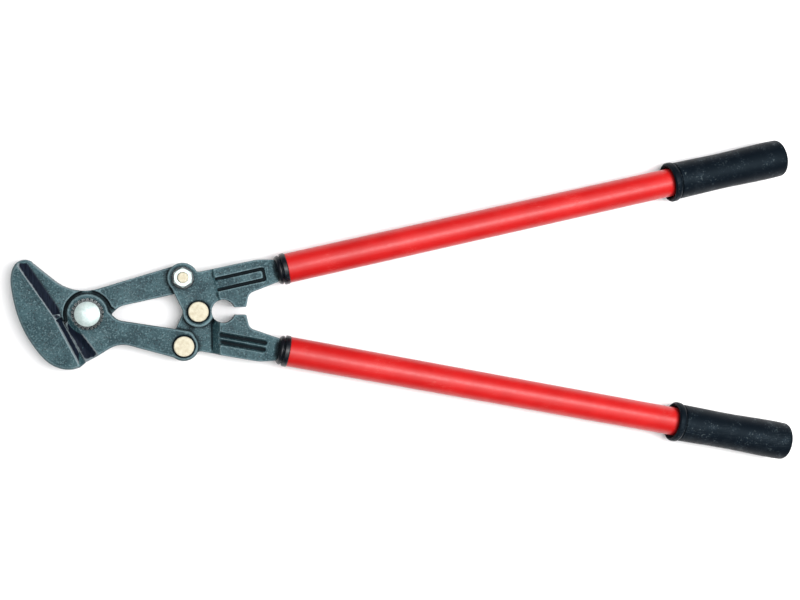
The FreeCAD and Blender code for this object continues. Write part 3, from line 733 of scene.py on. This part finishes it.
def grip(node, side):
    """Rubber sleeve: rolled ring round a flared mouth, groove, waisted body, rounded closed end."""
    end = HANDLE_LENGTH
    mouth = end - GRIP_LENGTH
    body = GRIP_BODY
    mouth_ring = [(3.5, TUBE_RADIUS, 0.4), (1.2, TUBE_RADIUS + 2.2, 0.8), (0, TUBE_RADIUS + 4.2, 0.8),
                  (0.2, GRIP_RING - 1.6, 0.6), (1.6, GRIP_RING, 1.0), (6.6, GRIP_RING, 1.0),
                  (8.6, GRIP_RING - 1.2, 0.6)]
    groove = [(9.2, body - 1.7, 0.4), (9.9, body - 1.7, 0.4), (10.6, body - 0.7, 0.5)]
    waist = [(13, -0.6), (26, -0.75), (40, -0.9), (54, -1.15), (68, -1.28),
             (82, -1.15), (96, -0.75), (110, -0.4), (124, -0.15), (136, 0.0)]
    profile = [(mouth + along, radius, cut) for along, radius, cut in mouth_ring + groove]
    profile += [(mouth + along, body + rise, 1.0) for along, rise in waist]
    profile += [(end - 1.9, body - 0.25, 3.2), (end - 0.05, body - 4.0, 3.0), (end, body * 0.45, 2.0),
                (end, 0.6, 0.0), (end - GRIP_END, 0.6, 0.0), (end - GRIP_END, TUBE_RADIUS, 0.0)]
    rings = lathe(softened(profile, True), circle_angles(128))
    return place_piece(node, skin_mesh(node + "_sleeve", rings, True), handle_place(side))


# ---- forgings --------------------------------------------------------------------------
EDGE_WAY = Vector((-math.sin(EDGE_TILT), -math.cos(EDGE_TILT), 0))


def draw_out_edge(node, spot):
    """Move a point near a cutting edge outwards, so that the rounded edge is where the sharp one was."""
    flat = spot - PIVOT
    reach = flat.dot(EDGE_WAY) / MM
    if node == "lower_jaw" and reach > BLADE_EDGE - EDGE_DEPTH:
        share = (reach - BLADE_EDGE + EDGE_DEPTH) / (EDGE_DEPTH - EDGE_LOSS)
        spot += EDGE_WAY * (share * EDGE_LOSS * MM)
    low_side = flat.y < 0 and flat.length > HOOK_EYE * MM and reach < HOOK_EDGE + EDGE_DEPTH
    if node == "upper_jaw" and reach > HOOK_EDGE and low_side:
        share = (HOOK_EDGE + EDGE_DEPTH - reach) / (EDGE_DEPTH - EDGE_LOSS)
        spot -= EDGE_WAY * (share * EDGE_LOSS * MM)


def is_ground(node, centre, normal):
    """True on the sloping faces ground behind the two cutting edges."""
    if abs(normal.z) < 0.2 or abs(normal.z) > 0.975:
        return False
    x, y = (centre - PIVOT).to_2d() / MM
    reach = (centre - PIVOT).dot(EDGE_WAY) / MM
    away = normal.dot(EDGE_WAY)
    if node == "upper_jaw":
        return x < -10 and math.hypot(x, y) > HOOK_EYE and normal.x > 0.12 and y < 56
    if node == "lower_jaw":
        return away > 0.15 and reach > 8 and x < 11 and math.hypot(x, y) > BLADE_EYE
    return False


def measure_relief(mesh, passes=45):
    """Store on each point how far it lies under (+) or over (-) its smoothed surroundings, millimetres."""
    count = len(mesh.vertices)
    spots = np.empty(count * 3)
    mesh.vertices.foreach_get("co", spots)
    spots = spots.reshape(-1, 3)
    ends = np.empty(len(mesh.edges) * 2, int)
    mesh.edges.foreach_get("vertices", ends)
    first, second = ends.reshape(-1, 2).T
    share = np.bincount(ends, minlength=count)[:, None]
    smoothed = spots.copy()
    for _ in range(passes):
        total = np.zeros_like(smoothed)
        for axis in range(3):
            total[:, axis] = (np.bincount(first, smoothed[second, axis], count)
                              + np.bincount(second, smoothed[first, axis], count))
        smoothed = total / share
    normals = np.empty(count * 3)
    mesh.vertices.foreach_get("normal", normals)
    depth = ((smoothed - spots) * normals.reshape(-1, 3)).sum(1) / MM
    mesh.attributes.new("relief", "FLOAT", "POINT").data.foreach_set("value", depth)


def forging(node):
    """Forged piece: the CAD solid with every edge rounded over and a slightly uneven skin."""
    source = frame["nodes"][node].data.copy()
    welded = bmesh.new()
    welded.from_mesh(source)
    bmesh.ops.remove_doubles(welded, verts=welded.verts, dist=2e-6)
    welded.to_mesh(source)
    welded.free()
    rough = bpy.data.objects.new(node + "_rough", source)
    bpy.context.scene.collection.objects.link(rough)
    grid = rough.modifiers.new("grid", "REMESH")
    grid.mode = "VOXEL"
    grid.voxel_size = VOXEL * MM
    rounding = rough.modifiers.new("rounding", "SMOOTH")
    rounding.factor = 0.5
    rounding.iterations = LEVER_ROUNDING if "lever" in node else JAW_ROUNDING
    mesh = bpy.data.meshes.new_from_object(rough.evaluated_get(bpy.context.evaluated_depsgraph_get()))
    bpy.data.objects.remove(rough)
    mesh.name = node + "_forged"
    normals = [v.normal.copy() for v in mesh.vertices]
    for vertex, normal in zip(mesh.vertices, normals):
        uneven = noise.noise(vertex.co * 110.0) + 0.5 * noise.noise(vertex.co * 420.0)
        vertex.co += normal * uneven * SKIN_UNEVEN * MM
        draw_out_edge(node, vertex.co)
    measure_relief(mesh)
    piece = place_piece(node, mesh, Matrix.Identity(4), 70.0)
    mesh.materials.clear()
    mesh.materials.append(finishes["forging"])
    mesh.materials.append(ground_steel)
    # Sloping faces behind the cutting edges take the near-black ground material, its darkness painted shade.
    for face in mesh.polygons:
        face.material_index = 1 if is_ground(node, face.center, face.normal) else 0
    return piece


for forged in ("upper_jaw", "lower_jaw", "upper_lever", "lower_lever"):
    forging(forged)
bolt("pivot_bolt", PIVOT_THREAD, domed_head(6.2, 3.6))
toothed_washer("pivot_lock_washer", PIVOT_WASHER_BORE, WASHER_TEETH)
plain_washer("pivot_washer", PIVOT_WASHER_BORE)
nut("pivot_nut", PIVOT_NUT)
for pin, over in (("centre", False), ("upper_link", True), ("lower_link", False)):
    bolt(pin + "_bolt", PIN_THREAD, flat_head(5.5), over)
    plain_washer(pin + "_washer", PIN_WASHER_BORE, over)
    nut(pin + "_nut", PIN_NUT, over)
for prefix, way in (("upper", 1), ("lower", -1)):
    tube(prefix + "_tube", way)
    collar(prefix + "_collar", way)
    grip(prefix + "_grip", way)


# ---- floor, light and camera ------------------------------------------------------------
def floor():
    half = FLOOR_HALF * MM
    corners = [(-half, -half, 0), (half, -half, 0), (half, half, 0), (-half, half, 0)]
    mesh = bpy.data.meshes.new("floor")
    mesh.from_pydata(corners, [], [(0, 1, 2, 3)])
    mesh.materials.append(floor_finish())
    made = bpy.data.objects.new("floor", mesh)
    bpy.context.scene.collection.objects.link(made)


def soft_light(name, power, size, spot, target, tint):
    """Rectangular lamp of this size in metres, aimed at a point."""
    lamp = bpy.data.lights.new(name, "AREA")
    lamp.shape = "RECTANGLE"
    lamp.energy = power
    lamp.size, lamp.size_y = size
    lamp.color = tint
    made = bpy.data.objects.new(name, lamp)
    made.location = spot
    made.rotation_euler = (Vector(target) - Vector(spot)).to_track_quat("-Z", "Y").to_euler()
    bpy.context.scene.collection.objects.link(made)


def broad_light(strength, width, lean):
    """Even light over the whole floor, leaning towards the grips."""
    lamp = bpy.data.lights.new("broad_light", "SUN")
    lamp.energy = strength
    lamp.angle = math.radians(width)
    made = bpy.data.objects.new("broad_light", lamp)
    made.rotation_euler = (0, math.radians(lean), 0)
    bpy.context.scene.collection.objects.link(made)


def room_light(strength):
    """Dim room for reflections, pale where the backdrop itself is seen."""
    world = bpy.data.worlds.new("studio")
    world.use_nodes = True
    tree = world.node_tree
    back = tree.nodes["Background"]
    seen = tree.nodes.new("ShaderNodeLightPath").outputs["Is Camera Ray"]
    tree.links.new(ramp(tree, seen, 0.0, 1.0, strength, 0.86), back.inputs["Strength"])
    back.inputs["Color"].default_value = (0.95, 0.98, 1.0, 1)
    bpy.context.scene.world = world


def camera():
    """Camera over the tool, leaning a little towards the grips."""
    lens = bpy.data.cameras.new("camera")
    lens.lens = 50
    lens.sensor_width = 36
    made = bpy.data.objects.new("camera", lens)
    bpy.context.scene.collection.objects.link(made)
    ahead = Vector(VIEW_AHEAD).normalized()
    right = ahead.cross(Vector(VIEW_UPWARD)).normalized()
    up = right.cross(ahead)
    place = Matrix((right, up, -ahead)).transposed().to_4x4()
    place.translation = PIVOT + Vector(VIEW_FROM) * MM
    made.matrix_world = place
    bpy.context.scene.camera = made


floor()
soft_light("overhead_softbox", 34.0, (1.7, 0.62), (0.60, 0.04, 1.70), (0.60, 0.0, 0.0), (1.0, 0.985, 0.995))
broad_light(2.4, 80.0, 6.0)
room_light(0.12)
camera()
bpy.context.scene.view_settings.view_transform = "Standard"
